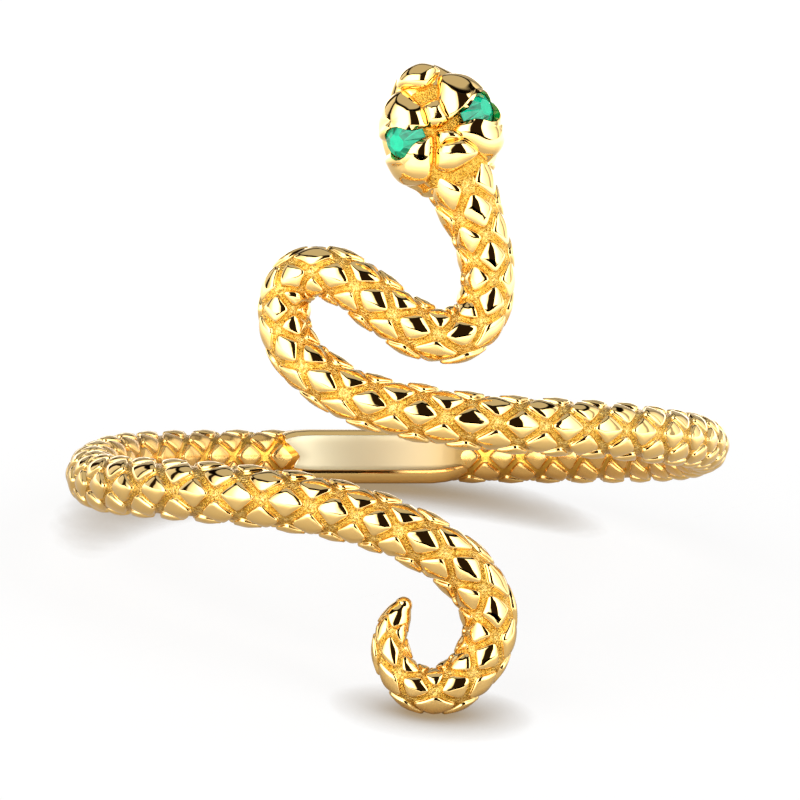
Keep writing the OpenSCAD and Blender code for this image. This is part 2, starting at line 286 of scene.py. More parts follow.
def greenStone():
    # Cut green cubic zirconia: clear and deep, each facet with its own flash, the flat table palest
    material, tree = newMaterial("cubic_zirconia_cut")
    place = addNode(tree, "ShaderNodeTexCoord").outputs["Object"]
    clouds = addNode(
        tree, "ShaderNodeTexNoise", {"Scale": 1 / (0.2 * mm), "Detail": 2}, {"Vector": place}
    )
    facet = addNode(tree, "ShaderNodeAttribute", {"attribute_name": "facet"}).outputs["Fac"]
    depth = addNode(
        tree,
        "ShaderNodeMapRange",
        {"From Min": 0.3, "From Max": 0.7, "To Min": -0.12, "To Max": 0.12},
        {"Value": clouds.outputs["Fac"]},
    )
    flash = addNode(tree, "ShaderNodeMath", {"operation": "ADD"}, {0: facet, 1: depth.outputs["Result"]})
    tint = addNode(
        tree,
        "ShaderNodeMix",
        {"data_type": "RGBA", 6: linearColour("#004E36"), 7: linearColour("#12DCA8")},
        {"Factor": flash.outputs[0]},
    )
    shader = addNode(
        tree,
        "ShaderNodeBsdfPrincipled",
        {"Roughness": 0.02, "IOR": 2.15, "Transmission Weight": 0.15, "Specular IOR Level": 0.05},
        {"Base Color": tint.outputs[2]},
    )
    addNode(tree, "ShaderNodeOutputMaterial", {}, {"Surface": shader.outputs["BSDF"]})
    return material


polished, satin, cast, stoneGreen = polishedGold(), satinGold(), castGold(), greenStone()
print("materials made")

# The scaled body, from the neck to the tail, in the ring's own frame and in mm
snakeBody = {
    "ringRadius": 9.5,
    "fingerRadius": 8.65,
    "fingerSide": (0.1, 0.4),  # how far within the ring's radius it starts, and over how much it grows
    "pitch": 1.51,  # length of a scale in radii of the body
    "firstScale": 0.05,  # where it starts, in pitches along the body
    "scaleRows": 128,
    "weld": 0.002,
    # how far the scales lie from an even spacing: pitches along the body, pitches added
    "drift": [
        (0, 0), (8, 0), (9, -0.1), (10, -0.2), (11, -0.15), (12, 0), (13, 0.1), (14, 0.12), (15, 0.2),
        (16, 0.25), (21, 0.25), (25, 0), (35, -0.1), (41, -0.18), (48, -0.05), (52, 0), (55, 0),
        (56, -0.1), (57, -0.22), (58, -0.18), (59, -0.1), (60, 0), (62, 0), (63, 0.04), (64, 0.52),
        (65, 0.78),
    ],
    # the domed top's share of the diamond, and the levels of its rim and its middle over that, in radii
    "topShare": 0.7,
    "edgeLevel": 0.93,
    "domeRise": 0.075,
    # share of the diamond and level in radii: the bevelled edge, the foot of the wall, the groove's floor
    "rings": [(0.775, 0.885), (0.805, 0.8), (1, 0.783)],
    "rimCrease": 0.75,
    # turn from the front in degrees, height along the axis, radius
    "path": [
        (7.9, 9.8, 0.90), (9.7, 9.0, 1.16), (11.9, 8.1, 1.14), (13.8, 7.3, 1.01), (15.6, 6.5, 0.93),
        (16.6, 5.6, 0.90), (16.2, 4.75, 0.90), (13.9, 4.0, 0.91), (9.4, 3.65, 0.92), (4.4, 3.8, 0.93),
        (0, 4.2, 0.92), (-4, 4.7, 0.92), (-8, 5.2, 0.91), (-12.5, 5.55, 0.89), (-17, 5.55, 0.87),
        (-20.3, 5.15, 0.86), (-21.3, 4.4, 0.86), (-20.6, 3.65, 0.86), (-18, 2.95, 0.86),
        (-14, 2.4, 0.87), (-8.5, 1.85, 0.89), (-2.5, 1.53, 0.91), (4, 1.32, 0.93), (11, 1.12, 0.93),
        (20, 0.98, 0.93), (30, 0.9, 0.93), (45, 0.78, 0.93), (60, 0.62, 0.91), (75, 0.48, 0.89),
        (90, 0.32, 0.88), (110, 0.1, 0.88), (135, 0, 0.88), (180, 0, 0.88), (225, 0, 0.88),
        (250, -0.15, 0.89), (270, -0.55, 0.92), (285, -0.8, 0.94), (300, -0.92, 0.96),
        (315, -1.02, 0.98), (330, -1.18, 0.99), (340, -1.36, 0.99), (349, -1.64, 0.97),
        (358, -2.08, 0.95), (365.5, -2.66, 0.95), (371.8, -3.4, 0.95), (376.2, -4.4, 0.94),
        (376.9, -5.4, 0.90), (374, -6.38, 0.86), (369, -7.02, 0.82), (364, -7.04, 0.77),
        (360.2, -6.54, 0.68), (358.6, -5.85, 0.62), (358.9, -5.25, 0.55), (360.2, -4.75, 0.42),
        (361, -4.5, 0.28),
    ],
}
ringRadius = snakeBody["ringRadius"]
bodyLine = smoothCurve([(radians(t) * ringRadius, h, r) for t, h, r in snakeBody["path"]], 2, 24)
lineSteps = np.linalg.norm(np.diff(bodyLine[:, :2], axis=0), axis=1)
meanRadii = (bodyLine[1:, 2] + bodyLine[:-1, 2]) / 2
pitchMarks = np.concatenate([[0], np.cumsum(lineSteps / (snakeBody["pitch"] * meanRadii))])
bodyLength = pitchMarks[-1]


def bodySpot(along):
    # way round, height and radius at so many pitches along the body
    return [float(np.interp(along, pitchMarks, bodyLine[:, column])) for column in range(3)]


def bodyAxes(along):
    # the middle, the radius, and the directions out of the ring, to the body's side and along it
    wayRound, height, radius = bodySpot(along)
    near = 0.1
    heading = Vector(bodySpot(along + near)[:2]) - Vector(bodySpot(along - near)[:2])
    heading.normalize()
    turn = wayRound / ringRadius
    outward = Vector((sin(turn), -cos(turn), 0))
    around = Vector((cos(turn), sin(turn), 0))
    up = Vector((0, 0, 1))
    middle = ringRadius * outward + height * up
    side = heading[1] * around - heading[0] * up
    forward = heading[0] * around + heading[1] * up
    return middle, radius, outward, side, forward


def clearOfFinger(point):
    # the scales are flattened on the finger's side
    reach = hypot(point.x, point.y)
    if reach < snakeBody["fingerRadius"]:
        point.x *= snakeBody["fingerRadius"] / reach
        point.y *= snakeBody["fingerRadius"] / reach
    return point


def bodySkin(along, angle, level):
    middle, radius, outward, side, forward = bodyAxes(along)
    return clearOfFinger(middle + level * radius * (cos(angle) * outward + sin(angle) * side))


def makeScaleCell():
    # One diamond lying flat as a square: a domed top, a bevelled edge, a wall and its half of the groove
    cell = bmesh.new()
    crease = cell.edges.layers.float.new("crease_edge")
    crossing = cell.verts.layers.float.new("crossing")
    cell.verts.layers.float.new("inside")
    half = snakeBody["topShare"] / 2
    bmesh.ops.create_grid(cell, x_segments=3, y_segments=3, size=half)
    for vert in cell.verts:
        dome = (1 - (vert.co.x / half) ** 2) * (1 - (vert.co.y / half) ** 2)
        vert.co.z = snakeBody["edgeLevel"] + snakeBody["domeRise"] * dome
    lastShare = snakeBody["topShare"]
    rim = [edge for edge in cell.edges if edge.is_boundary]
    for share, level in snakeBody["rings"]:
        for edge in rim:
            edge[crease] = snakeBody["rimCrease"]
        pulled = bmesh.ops.extrude_edge_only(cell, edges=rim)["geom"]
        verts = [part for part in pulled if isinstance(part, bmesh.types.BMVert)]
        rim = [part for part in pulled if isinstance(part, bmesh.types.BMEdge) and part.is_boundary]
        bmesh.ops.scale(cell, vec=(share / lastShare, share / lastShare, 1), verts=verts)
        for vert in verts:
            vert.co.z = level
        lastShare = share
    # the corners of the whole diamond, half of 1 from its middle, are where the grooves cross
    for vert in verts:
        vert[crossing] = float(min(abs(vert.co.x), abs(vert.co.y)) > 0.49)
    wallFoot = snakeBody["rings"][1][1]
    for face in cell.faces:
        inGroove = all(vert.co.z < wallFoot + 0.001 for vert in face.verts)
        face.material_index = int(inGroove)
    turnToDiamond = Matrix(((0.5, 0.5, 0, 0), (-0.5, 0.5, 0, 0), (0, 0, 1, 0), (0, 0, 0, 1)))
    bmesh.ops.transform(cell, matrix=turnToDiamond, verts=cell.verts)
    return cell


def buildBody():
    # four scales side by side go round the body, and every second row is set off by half a scale
    rows = snakeBody["scaleRows"]
    mesh = makeScaleCell()
    cell = mesh.verts[:] + mesh.edges[:] + mesh.faces[:]
    for step in (1, 2, 3):
        copied = bmesh.ops.duplicate(mesh, geom=cell)["geom"]
        verts = [part for part in copied if isinstance(part, bmesh.types.BMVert)]
        bmesh.ops.translate(mesh, vec=(0, step, 0), verts=verts)
    row = mesh.verts[:] + mesh.edges[:] + mesh.faces[:]
    firstCell = mesh.verts[: len(mesh.verts) // 4]
    for k in range(1, rows):
        copied = bmesh.ops.duplicate(mesh, geom=row)["geom"]
        verts = [part for part in copied if isinstance(part, bmesh.types.BMVert)]
        bmesh.ops.translate(mesh, vec=(k / 2, (k % 2) / 2, 0), verts=verts)
    # the first scale of all is only a bare patch under the edge of the crown
    for vert in firstCell:
        vert.co.z = min(vert.co.z, snakeBody["rings"][1][1])
        for face in vert.link_faces:
            face.material_index = 1
    inside = mesh.verts.layers.float["inside"]
    sideStart, sideDepth = snakeBody["fingerSide"]
    for vert in mesh.verts:
        along, quarters, level = vert.co
        along += snakeBody["firstScale"] + 0.5
        along += float(np.interp(along, *zip(*snakeBody["drift"])))
        vert.co = bodySkin(along, quarters * pi / 2, level)
        depth = ringRadius - sideStart - hypot(vert.co.x, vert.co.y)
        vert[inside] = min(1, max(0, depth / sideDepth))
    bmesh.ops.remove_doubles(mesh, verts=mesh.verts, dist=snakeBody["weld"])
    ends = [edge for edge in mesh.edges if edge.is_boundary]
    bmesh.ops.holes_fill(mesh, edges=ends, sides=0)
    bmesh.ops.recalc_face_normals(mesh, faces=mesh.faces)
    openEdges = sum(edge.is_boundary for edge in mesh.edges)
    print("body: rows", rows, "faces", len(mesh.faces), "open edges", openEdges)
    finishPiece("snake_body", mesh, [polished, cast], "gold_plate", 1)


buildBody()

# The smooth end of the tail, one long bud whose foot dips towards the grooves' crossings
tailTip = {
    "start": 64.72,  # in pitches along the body
    "dip": 0.36,  # how much later it starts where no grooves cross
    "level": 0.95,  # in radii of the body
    "foot": 0.2,  # how round its hidden end is
    "short": 0.01,
    "sides": 48,
    "rings": 32,
}


def buildTailTip():
    mesh = bmesh.new()
    bmesh.ops.create_uvsphere(mesh, u_segments=tailTip["sides"], v_segments=tailTip["rings"], radius=1)
    # the sphere's middle half becomes the length of the bud, and its caps round off the two ends
    for vert in mesh.verts:
        latitude, angle = asin(max(-1, min(1, vert.co.z))), atan2(vert.co.y, vert.co.x)
        share = max(0, min(1, (latitude + pi / 4) / (pi / 2)))
        bow = max(0, abs(latitude) - pi / 4) * 2
        quarter = angle / (pi / 2)
        start = tailTip["start"] + tailTip["dip"] * 2 * abs(quarter - round(quarter))
        along = min(start + (bodyLength - start) * share, bodyLength - tailTip["short"])
        middle, radius, outward, side, forward = bodyAxes(along)
        radius *= tailTip["level"]
        across = radius * cos(bow) * (cos(angle) * outward + sin(angle) * side)
        length = sin(bow) if latitude > 0 else -tailTip["foot"] * sin(bow)
        vert.co = middle + across + forward * radius * length
    bmesh.ops.recalc_face_normals(mesh, faces=mesh.faces)
    finishPiece("tail_tip", mesh, [polished], "gold_plate")


buildTailTip()

# The bare smooth stretch inside the back of the band, with a flat face between rounded rims
innerPlate = {
    "turn": 185,
    "length": 5.9,
    "steps": 60,
    # radius and height of its section, from the foot of the face up, over and back
    "section": [
        (8.6, -0.42), (8.6, -0.28), (8.6, -0.12), (8.6, 0), (8.6, 0.14), (8.6, 0.3), (8.6, 0.45),
        (8.6, 0.58), (8.63, 0.68), (8.71, 0.78), (8.85, 0.85), (9.05, 0.87), (9.5, 0.87), (9.5, -0.87),
        (9.05, -0.865), (8.91, -0.82), (8.84, -0.74), (8.785, -0.65), (8.75, -0.57), (8.745, -0.54),
        (8.785, -0.525), (8.785, -0.455), (8.62, -0.435),
    ],
    # heights between which the satin face lies
    "faceSpan": (-0.43, 0.66),
    # height and how far the left end is cut back there
    "notch": [(-0.87, 0.1), (-0.45, 0.26), (0, 0.52), (0.6, 0.02), (0.87, 0)],
    # share of half its length from the middle, then the height and the sink of its ends
    "right": [(0.6, 1, 0), (0.75, 0.94, 0), (0.88, 0.78, 0.03), (1, 0.6, 0.1)],
    "left": [(0.7, 1, 0), (0.86, 0.96, 0), (0.95, 0.88, 0.01), (1, 0.8, 0.03)],
    "endBevel": 0.03,
    "sharpAngle": 60,
}


def buildInnerPlate():
    mesh = bmesh.new()
    inside = mesh.verts.layers.float.new("inside")
    sweep = innerPlate["length"] / snakeBody["fingerRadius"]
    first = -sweep / 2
    section = [mesh.verts.new((r * sin(first), -r * cos(first), z)) for r, z in innerPlate["section"]]
    edges = [mesh.edges.new((section[i - 1], section[i])) for i in range(len(section))]
    bmesh.ops.spin(
        mesh,
        geom=section + edges,
        cent=(0, 0, 0),
        axis=(0, 0, 1),
        angle=sweep,
        steps=innerPlate["steps"],
        use_merge=False,
        use_duplicate=False,
    )
    bmesh.ops.holes_fill(mesh, edges=[edge for edge in mesh.edges if edge.is_boundary], sides=0)
    bmesh.ops.recalc_face_normals(mesh, faces=mesh.faces)
    faceFoot, faceTop = innerPlate["faceSpan"]
    for face in mesh.faces:
        middle = face.calc_center_median()
        onFace = faceFoot < middle.z < faceTop and len(face.verts) == 4
        face.material_index = 0 if onFace else 1
    for vert in mesh.verts:
        turn, reach = atan2(vert.co.x, -vert.co.y), hypot(vert.co.x, vert.co.y)
        share = turn / sweep * 2
        # on the plate, "inside" is the share of painted shade along it: 0 at its left end, 1 at its right
        vert[inside] = (0.5 - 0.5 * share) ** 2
        marks, tall, sunk = zip(*innerPlate["left" if share > 0 else "right"])
        if share > 0:
            cut = float(np.interp(vert.co.z, *zip(*innerPlate["notch"])))
            turn *= 1 - cut * 2 / innerPlate["length"]
        vert.co.z *= float(np.interp(abs(share), marks, tall))
        reach += float(np.interp(abs(share), marks, sunk))
        turn += radians(innerPlate["turn"])
        vert.co.x, vert.co.y = reach * sin(turn), -reach * cos(turn)
    # the two end faces are the only ones with many corners
    ends = [edge for edge in mesh.edges if any(len(face.verts) > 4 for face in edge.link_faces)]
    bmesh.ops.bevel(
        mesh,
        geom=ends,
        affect="EDGES",
        offset=innerPlate["endBevel"],
        segments=3,
        profile=0.5,
        material=-1,
    )
    piece = finishPiece("inner_plate", mesh, [satin, polished], "gold_plate")
    piece.data.set_sharp_from_angle(angle=radians(innerPlate["sharpAngle"]))


buildInnerPlate()
print("band finished")

# The head, in its own frame: side, forward and up from its middle
snakeHead = {
    "turn": 7.4,
    "height": 9.9,
    "lean": 22,
    "frontEnd": 2.06,  # where its plates end
    "baseSpan": (-2.08, 1.92),
    # how deep the base lies under the head's form, below the grooves and on the flanks and the belly
    "grooveDepth": 0.27,
    "flankDepth": 0.05,
    "topEdge": 0.35,  # cosine of the angle from the top where the floor starts to come up
    "roughAbove": 0.6,
    "sharpAngle": 50,
    "power": 2.6,  # 2 is an ellipse, and more is squarer
    "least": 0.02,  # smallest half width that the form is worked out with
    # forward, half width, height of the top, depth of the belly
    "sections": [
        (2.2, 0, 0, 0), (2.15, 0.2, 0.2, 0.2), (1.95, 0.6, 0.52, 0.42), (1.5, 1.05, 0.82, 0.62),
        (1.0, 1.49, 1.04, 0.74), (0.5, 1.73, 1.22, 0.82), (-0.2, 1.83, 1.3, 0.85), (-0.8, 1.8, 1.3, 0.85),
        (-1.2, 1.63, 1.24, 0.85), (-1.5, 1.36, 1.17, 0.85), (-1.85, 1.08, 1.06, 0.85), (-2.1, 0, 0, 0),
    ],
}
headTurn, headLean = radians(snakeHead["turn"]), radians(snakeHead["lean"])
headOutward = Vector((sin(headTurn), -cos(headTurn), 0))
headAround = Vector((cos(headTurn), sin(headTurn), 0))
headUp = Vector((0, 0, 1))
headSide = cos(headLean) * headAround + sin(headLean) * headUp
headForward = -sin(headLean) * headAround + cos(headLean) * headUp
headMiddle = ringRadius * headOutward + snakeHead["height"] * headUp
headAxes = Matrix((headSide, headForward, headOutward)).transposed().to_4x4()
headMatrix = Matrix.Translation(headMiddle) @ headAxes
headLine = smoothCurve(snakeHead["sections"], 1, 60)[::-1]


def headSize(forward):
    return [float(np.interp(forward, headLine[:, 0], headLine[:, column])) for column in (1, 2, 3)]


def headPoint(angle, forward, lift):
    # angle from the top of the head round its section; lift is along the surface's normal
    power, least = snakeHead["power"], snakeHead["least"]
    right, above = (1 if sin(angle) > 0 else -1), (1 if cos(angle) > 0 else -1)
    wide, top, belly = headSize(forward)
    tall = top if above > 0 else belly
    side = wide * abs(sin(angle)) ** (2 / power) * right
    up = tall * abs(cos(angle)) ** (2 / power) * above
    # the form's level a little behind and in front gives its slope
    near = 0.04
    levels = []
    for place in (forward - near, forward + near):
        nearWide, nearTop, nearBelly = headSize(place)
        nearWide, nearTall = max(nearWide, least), max(nearTop if up > 0 else nearBelly, least)
        levels.append((abs(side) / nearWide) ** power + (abs(up) / nearTall) ** power)
    wide, tall = max(wide, least), max(tall, least)
    normal = Vector((
        power * abs(side) ** (power - 1) / wide**power * (1 if side > 0 else -1),
        (levels[1] - levels[0]) / (2 * near),
        power * abs(up) ** (power - 1) / tall**power * (1 if up > 0 else -1),
    ))
    if normal.length > 0:
        normal.normalize()
    return Vector((side, forward, up)) + lift * normal


def headAngle(side, forward):
    # the angle round the section at a place seen from above, going on under the head past its side
    wide, top, belly = headSize(forward)
    share = abs(side) / max(wide, snakeHead["least"])
    if share < 1:
        angle = asin(share ** (snakeHead["power"] / 2))
    else:
        angle = pi / 2 + (share - 1) * wide / belly
    return angle if side > 0 else -angle


def evenOut(mesh, verts, factor):
    bmesh.ops.smooth_vert(
        mesh, verts=verts, factor=factor, use_axis_x=True, use_axis_y=True, use_axis_z=True
    )


def buildHeadBase():
    mesh = bmesh.new()
    bmesh.ops.create_uvsphere(mesh, u_segments=64, v_segments=48, radius=1)
    back, front = snakeHead["baseSpan"]
    flankDepth, deeper = snakeHead["flankDepth"], snakeHead["grooveDepth"] - snakeHead["flankDepth"]
    for vert in mesh.verts:
        angle = atan2(vert.co.x, vert.co.y)
        forward = (front + back) / 2 - (front - back) / 2 * vert.co.z
        # a deep floor under the grooves of the top, which comes up to the full flanks and belly
        topShare = min(1, max(0, cos(angle) / snakeHead["topEdge"]))
        vert.co = headPoint(angle, forward, -flankDepth - deeper * topShare)
    poles = [vert for vert in mesh.verts if len(vert.link_edges) > 4]
    evenOut(mesh, poles, 1)
    return mesh


# The eight buffed plates of the head
headPlates = {
    "unroll": 1.5,  # mm of outline for a radian round the flank
    "rimSteps": 3,
    "rootLift": -0.4,
    # share of the outline and lift over the head's form; the first few rings are its skirt
    "rings": [
        (1.06, -0.3), (1.01, -0.19), (0.97, -0.12), (0.91, -0.045), (0.81, 0.035), (0.66, 0.1),
        (0.46, 0.142), (0.25, 0.16),
    ],
    "skirt": 4,
    "buffed": 4,
    # The eye's side of a plate that wraps round a flank, or 0. How far a plate is raised, and how much
    # more for each mm towards its right and its front. The middle that its rings close on, and its
    # outline, both as side and forward.
    "plates": {
        "snout": {
            "eye": 0, "raised": 0, "toRight": 0, "toFront": -0.12, "middle": (-0.04, 1.84),
            "outline": [
                (0, 1.4), (-0.32, 1.5), (-0.6, 1.64), (-0.84, 1.72), (-0.78, 1.88), (-0.56, 2.04),
                (-0.28, 2.14), (0, 2.18), (0.26, 2.15), (0.47, 2.03), (0.64, 1.88), (0.76, 1.72),
                (0.52, 1.62), (0.29, 1.5),
            ],
        },
        "bridge": {
            "eye": 0, "raised": -0.01, "toRight": 0.06, "toFront": 0, "middle": (-0.07, 0.52),
            "outline": [
                (-0.36, 0.93), (-0.18, 0.97), (-0.01, 0.99), (0.27, 0.92), (0.23, 0.55), (0.28, 0.2),
                (0.1, 0.1), (-0.06, 0.07), (-0.25, 0.12), (-0.45, 0.22), (-0.39, 0.59),
            ],
        },
        "brow": {
            "eye": 0, "raised": 0, "toRight": 0.22, "toFront": 0, "middle": (-0.02, -0.24),
            "outline": [
                (-0.26, 0.02), (-0.1, -0.01), (0.06, -0.04), (0.2, -0.1), (0.4, -0.3), (0.42, -0.5),
                (0.2, -0.48), (0.07, -0.45), (-0.2, -0.42), (-0.42, -0.52), (-0.37, -0.25),
            ],
        },
        "crown": {
            "eye": 0, "raised": 0, "toRight": 0.1, "toFront": 0.16, "middle": (0, -0.9),
            "outline": [
                (-0.47, -0.53), (-0.33, -0.43), (-0.2, -0.38), (0.07, -0.4), (0.4, -0.48), (0.63, -0.76),
                (0.78, -1.07), (0.6, -1.22), (0.33, -1.32), (-0.07, -1.42), (-0.35, -1.4),
                (-0.6, -1.28), (-0.71, -1.06), (-0.59, -0.8),
            ],
        },
        "leftCheek": {
            "eye": -1, "raised": 0, "toRight": 0, "toFront": 0, "middle": (-1.25, 0.75),
            "outline": [
                (-0.65, 1.56), (-0.5, 1.27), (-0.38, 0.99), (-0.33, 0.88), (-0.34, 0.59), (-0.41, 0.26),
                (-0.6, 0.25), (-0.78, 0.18), (-0.95, -0.02), (-1.25, -0.18), (-1.5, -0.1),
                (-1.66, 0.17), (-1.85, 0.27), (-2.3, 0.3), (-2.35, 0.55), (-2.0, 0.95), (-1.5, 1.24),
                (-1.15, 1.5), (-0.85, 1.64),
            ],
        },
        "rightCheek": {
            "eye": 1, "raised": 0, "toRight": 0, "toFront": 0, "middle": (1.3, 0.72),
            "outline": [
                (0.48, 1.42), (0.68, 1.6), (1.0, 1.54), (1.36, 1.34), (1.85, 1.0), (2.25, 0.5),
                (2.3, 0.22), (1.95, 0.17), (1.78, 0.0), (1.55, -0.14), (1.25, -0.16), (0.95, 0.02),
                (0.78, 0.18), (0.6, 0.24), (0.45, 0.22), (0.24, 0.22), (0.19, 0.55), (0.25, 0.92),
                (0.36, 1.17),
            ],
        },
        "leftTemple": {
            "eye": -1, "raised": 0, "toRight": 0, "toFront": 0.06, "middle": (-1.4, -0.6),
            "outline": [
                (-0.44, -0.09), (-0.6, -0.04), (-0.78, 0.02), (-0.95, 0.2), (-1.25, 0.36), (-1.5, 0.3),
                (-1.65, 0.0), (-1.85, -0.1), (-2.3, -0.13), (-2.45, -0.4), (-2.3, -0.85),
                (-1.95, -1.25), (-1.5, -1.45), (-1.18, -1.48), (-1.0, -1.33), (-0.82, -1.03),
                (-0.68, -0.76), (-0.55, -0.5), (-0.47, -0.28),
            ],
        },
        "rightTemple": {
            "eye": 1, "raised": 0.02, "toRight": 0, "toFront": 0.1, "middle": (1.45, -0.6),
            "outline": [
                (0.44, -0.11), (0.66, -0.03), (0.8, 0.04), (0.98, 0.2), (1.25, 0.36), (1.55, 0.34),
                (1.78, 0.2), (1.92, 0.08), (2.25, 0.05), (2.5, -0.3), (2.4, -0.7), (2.1, -1.2),
                (1.62, -1.5), (1.28, -1.57), (1.06, -1.5), (0.87, -1.29), (0.71, -1.07),
                (0.54, -0.77), (0.36, -0.49), (0.34, -0.26),
            ],
        },
    },
}


def makePlate(mesh, plate):
    # An outline drawn from above, raised in rings to a dome and laid on the head. One that wraps round the
    # flank is unrolled first.
    unroll, wraps, raised = headPlates["unroll"], plate["eye"] != 0, plate["raised"]

    def unrolled(side, forward):
        return headAngle(side, min(forward, snakeHead["frontEnd"])) * unroll if wraps else side, forward

    middle = Vector((*unrolled(*plate["middle"]), 0))
    rim = smoothCurve(plate["outline"], 2, headPlates["rimSteps"], closed=True)
    verts = [mesh.verts.new((*unrolled(x, y), 0)) for x, y in rim]
    face = mesh.faces.new(verts)
    made, lastShare = list(verts), 1
    lifts = {vert: headPlates["rootLift"] for vert in verts}
    for share, lift in headPlates["rings"]:
        top = bmesh.ops.extrude_face_region(mesh, geom=[face], use_keep_orig=True)["geom"]
        # the first face stays as the closed underside, and the ones after it would lie inside
        if lastShare != 1:
            bmesh.ops.delete(mesh, geom=[face], context="FACES_ONLY")
        face = [part for part in top if isinstance(part, bmesh.types.BMFace)][0]
        verts = face.verts[:]
        grow = share / lastShare
        bmesh.ops.scale(mesh, vec=(grow, grow, 1), space=Matrix.Translation(-middle), verts=verts)
        lifts.update({vert: lift + raised for vert in verts})
        made += verts
        lastShare = share
    centre = bmesh.ops.poke(mesh, faces=[face])["verts"][0]
    lifts[centre] = headPlates["rings"][-1][1] + raised
    made.append(centre)
    for vert in made:
        forward = min(vert.co.y, snakeHead["frontEnd"])
        aside, ahead = vert.co.x - middle.x, forward - middle.y
        lift = lifts[vert] + plate["toRight"] * aside + plate["toFront"] * ahead
        angle = vert.co.x / unroll if wraps else headAngle(vert.co.x, forward)
        vert.co = headPoint(angle, forward, lift)
    dome = made[len(rim) * headPlates["skirt"] :]
    for _ in range(headPlates["buffed"]):
        evenOut(mesh, dome, 0.5)


# The two eye stones, keyhole shapes whose narrow ends point to the head's midline. The right one is given,
# and the left one is its mirror image.
eyeStone = {
    "side": 1.34,
    "forward": 0.1,
    "height": 0.84,
    "tilt": 48,
    "gap": 0.02,
    "seatDepth": 0.36,
    "seatHeight": 0.8,
    "sunk": -0.01,
    "bend": (-0.35, 0.45),  # where the narrow end starts to slope down, and its slope
    "tableRadius": 0.27,
    "tableView": -0.08,  # the point of the midline from which its eight corners are counted
    "tableWeld": 0.01,
    "crown": 0.12,
    "girdle": 0.04,
    "pavilion": 0.28,
    # how bright the facets flash, in turn round the stone from its round end, and the underside and table
    "flashes": (0.36, 0.66, 0.18, 0.5, 0.74, 0.26, 0.56),
    "undersideFlash": 0.36,
    "tableFlash": 0.92,
    # half of the outline, from the round end to the narrow end
    "outline": [
        (0.49, 0), (0.453, 0.188), (0.346, 0.346), (0.188, 0.453), (0, 0.49), (-0.188, 0.453),
        (-0.346, 0.346), (-0.43, 0.26), (-0.53, 0.19), (-0.67, 0.155), (-0.84, 0.135),
    ],
}


def eyeMatrix(side):
    mirror = Matrix.Scale(-1, 4, (1, 0, 0)) if side < 0 else Matrix.Identity(4)
    place = Matrix.Translation((eyeStone["side"], eyeStone["forward"], eyeStone["height"]))
    return headMatrix @ mirror @ place @ Matrix.Rotation(radians(eyeStone["tilt"]), 4, "Y")


def stoneOutline(grow):
    half = eyeStone["outline"]
    whole = half + [(x, -y) for x, y in half[:0:-1]]
    points = []
    for i, (x, y) in enumerate(whole):
        before, after = whole[i - 1], whole[(i + 1) % len(whole)]
        along = Vector((after[0] - before[0], after[1] - before[1])).normalized()
        points.append((x + along.y * grow, y - along.x * grow))
    return points


def bendTongue(mesh):
    # the narrow end slopes down with the head's surface
    start, slope = eyeStone["bend"]
    for vert in mesh.verts:
        vert.co.z -= slope * max(0, start - vert.co.x) + eyeStone["sunk"]


def buildStone(side):
    mesh = bmesh.new()
    facet = mesh.faces.layers.float.new("facet")
    outline = stoneOutline(0)
    verts = [mesh.verts.new((x, y, 0)) for x, y in outline]
    face = mesh.faces.new(verts)
    top = bmesh.ops.extrude_face_region(mesh, geom=[face], use_keep_orig=True)["geom"]
    upper = [part for part in top if isinstance(part, bmesh.types.BMFace)][0]
    bmesh.ops.translate(mesh, vec=(0, 0, eyeStone["girdle"]), verts=upper.verts)
    top = bmesh.ops.extrude_face_region(mesh, geom=[upper], use_keep_orig=True)["geom"]
    bmesh.ops.delete(mesh, geom=[upper], context="FACES_ONLY")
    table = [part for part in top if isinstance(part, bmesh.types.BMFace)][0]
    for vert in table.verts:
        angle = round(atan2(vert.co.y, vert.co.x - eyeStone["tableView"]) / (pi / 4)) * pi / 4
        radius = eyeStone["tableRadius"]
        height = eyeStone["crown"] + eyeStone["girdle"]
        vert.co = Vector((radius * cos(angle), radius * sin(angle), height))
    bmesh.ops.remove_doubles(mesh, verts=table.verts, dist=eyeStone["tableWeld"])
    # the walls of the girdle and then the facets over them, each in its place round the stone
    middles = {cut: cut.calc_center_median() for cut in mesh.faces}
    table = max(middles, key=lambda cut: middles[cut].z)
    table[facet], face[facet] = eyeStone["tableFlash"], eyeStone["undersideFlash"]
    for over in (False, True):
        level = [
            cut
            for cut, middle in middles.items()
            if cut not in (table, face) and (middle.z > eyeStone["girdle"]) == over
        ]
        level.sort(key=lambda cut: atan2(middles[cut].y, eyeStone["tableView"] - middles[cut].x))
        for i, cut in enumerate(level):
            cut[facet] = eyeStone["flashes"][i % len(eyeStone["flashes"])]
    keel = bmesh.ops.poke(mesh, faces=[face])["verts"][0]
    keel.co = Vector((0, 0, -eyeStone["pavilion"]))
    bendTongue(mesh)
    bmesh.ops.transform(mesh, matrix=eyeMatrix(side), verts=mesh.verts)
    bmesh.ops.recalc_face_normals(mesh, faces=mesh.faces)
    name = "eye_left" if side < 0 else "eye_right"
    stone = finishPiece(name, mesh, [stoneGreen], "green_stone", flat=True)
    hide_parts("eye_stone_left" if side < 0 else "eye_stone_right")


def makeSeatCutter(side):
    # a keyhole prism, open above the stone
    mesh = bmesh.new()
    verts = [mesh.verts.new((x, y, -eyeStone["seatDepth"])) for x, y in stoneOutline(eyeStone["gap"])]
    face = mesh.faces.new(verts)
    top = bmesh.ops.extrude_face_region(mesh, geom=[face], use_keep_orig=True)["geom"]
    upper = [part for part in top if isinstance(part, bmesh.types.BMVert)]
    bmesh.ops.translate(mesh, vec=(0, 0, eyeStone["seatDepth"] + eyeStone["seatHeight"]), verts=upper)
    bendTongue(mesh)
    bmesh.ops.transform(mesh, matrix=eyeMatrix(side), verts=mesh.verts)
    bmesh.ops.recalc_face_normals(mesh, faces=mesh.faces)
    return mesh


